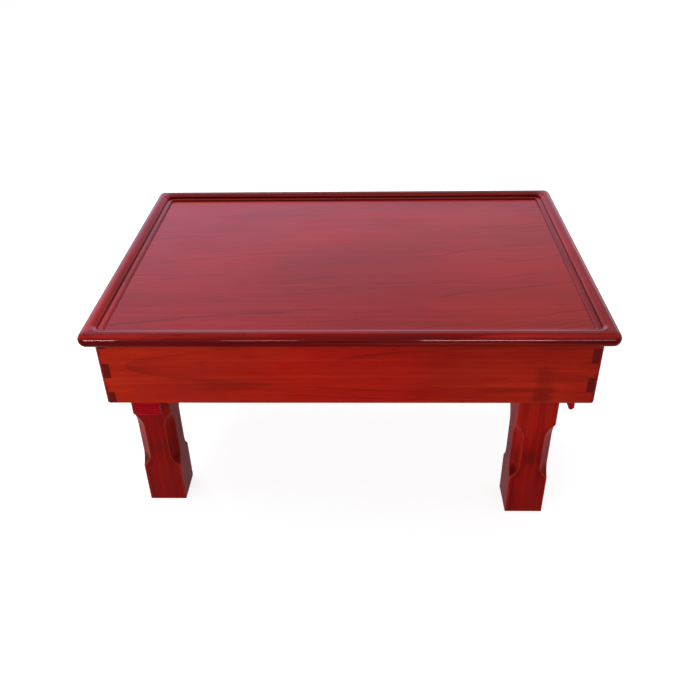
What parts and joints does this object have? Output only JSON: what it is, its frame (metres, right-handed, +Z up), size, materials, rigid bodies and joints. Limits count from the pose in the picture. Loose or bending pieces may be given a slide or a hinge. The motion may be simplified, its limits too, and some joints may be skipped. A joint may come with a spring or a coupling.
{
  "type": "folding low table",
  "caption": "Rectangular red-lacquered low table with a rimmed tray top, finger-jointed apron and octagon-waisted legs that fold flat under the top and are held by press levers.",
  "frame": {"origin": "on the floor under the middle of the top", "axes": "+X along the long side, +Y to the back (away from the viewer of the picture), +Z up"},
  "size_m": [0.6, 0.42, 0.292],
  "materials": {
    "lacquered_panel": "glossy red lacquer over grain",
    "lacquered_rim": "glossy deep red lacquer",
    "lacquered_apron": "glossy orange-red lacquer over grain",
    "lacquered_leg": "glossy deep red lacquer over grain",
    "bare_wood": "bare hardwood",
    "plated_steel": "zinc plated",
    "spring_steel": "blued spring steel",
    "crimson_plastic": "moulded, ribbed"
  },
  "bodies": {
    "table_top": {"top_panel": "lacquered_panel", "rim_front": "lacquered_rim", "rim_right": "lacquered_rim", "rim_back": "lacquered_rim", "rim_left": "lacquered_rim", "mitre_splines": "bare_wood", "apron_front": "lacquered_apron", "apron_right": "lacquered_apron", "apron_back": "lacquered_apron", "apron_left": "lacquered_apron", "apron_dowels": "bare_wood", "hinge_bracket_front_left": "plated_steel", "pivot_pin_front_left": "plated_steel", "stop_pin_front_left": "plated_steel", "lever_pin_front_left": "plated_steel", "lever_spring_front_left": "spring_steel", "hinge_bracket_front_right": "plated_steel", "pivot_pin_front_right": "plated_steel", "stop_pin_front_right": "plated_steel", "lever_pin_front_right": "plated_steel", "lever_spring_front_right": "spring_steel", "hinge_bracket_back_right": "plated_steel", "pivot_pin_back_right": "plated_steel", "stop_pin_back_right": "plated_steel", "lever_pin_back_right": "plated_steel", "lever_spring_back_right": "spring_steel", "hinge_bracket_back_left": "plated_steel", "pivot_pin_back_left": "plated_steel", "stop_pin_back_left": "plated_steel", "lever_pin_back_left": "plated_steel", "lever_spring_back_left": "spring_steel", "bracket_screws": "plated_steel"},
    "leg_front_left": {"leg_front_left": "lacquered_leg"},
    "lock_lever_front_left": {"lock_lever_front_left": "crimson_plastic"},
    "leg_front_right": {"leg_front_right": "lacquered_leg"},
    "lock_lever_front_right": {"lock_lever_front_right": "crimson_plastic"},
    "leg_back_right": {"leg_back_right": "lacquered_leg"},
    "lock_lever_back_right": {"lock_lever_back_right": "crimson_plastic"},
    "leg_back_left": {"leg_back_left": "lacquered_leg"},
    "lock_lever_back_left": {"lock_lever_back_left": "crimson_plastic"}
  },
  "joints": [
    {"name": "leg_fold_front_left", "type": "hinge", "parent": "table_top", "child": "leg_front_left", "pos_m": [-0.248, -0.1365, 0.248], "axis": [1, 0, 0], "range_deg": [0, 90]},
    {"name": "lever_press_front_left", "type": "hinge", "parent": "table_top", "child": "lock_lever_front_left", "pos_m": [-0.248, -0.175, 0.23], "axis": [1, 0, 0], "range_deg": [0, 6], "stiffness_Nm_per_rad": 1.5, "springref_deg": -2.86, "deforming": ["lever_spring_front_left"]},
    {"name": "leg_fold_front_right", "type": "hinge", "parent": "table_top", "child": "leg_front_right", "pos_m": [0.2265, -0.158, 0.248], "axis": [0, 1, 0], "range_deg": [0, 90]},
    {"name": "lever_press_front_right", "type": "hinge", "parent": "table_top", "child": "lock_lever_front_right", "pos_m": [0.265, -0.158, 0.23], "axis": [0, 1, 0], "range_deg": [0, 6], "stiffness_Nm_per_rad": 1.5, "springref_deg": -2.86, "deforming": ["lever_spring_front_right"]},
    {"name": "leg_fold_back_right", "type": "hinge", "parent": "table_top", "child": "leg_back_right", "pos_m": [0.248, 0.1365, 0.248], "axis": [-1, 0, 0], "range_deg": [0, 90]},
    {"name": "lever_press_back_right", "type": "hinge", "parent": "table_top", "child": "lock_lever_back_right", "pos_m": [0.248, 0.175, 0.23], "axis": [-1, 0, 0], "range_deg": [0, 6], "stiffness_Nm_per_rad": 1.5, "springref_deg": -2.86, "deforming": ["lever_spring_back_right"]},
    {"name": "leg_fold_back_left", "type": "hinge", "parent": "table_top", "child": "leg_back_left", "pos_m": [-0.2265, 0.158, 0.248], "axis": [0, -1, 0], "range_deg": [0, 90]},
    {"name": "lever_press_back_left", "type": "hinge", "parent": "table_top", "child": "lock_lever_back_left", "pos_m": [-0.265, 0.158, 0.23], "axis": [0, -1, 0], "range_deg": [0, 6], "stiffness_Nm_per_rad": 1.5, "springref_deg": -2.86, "deforming": ["lever_spring_back_left"]}
  ]
}
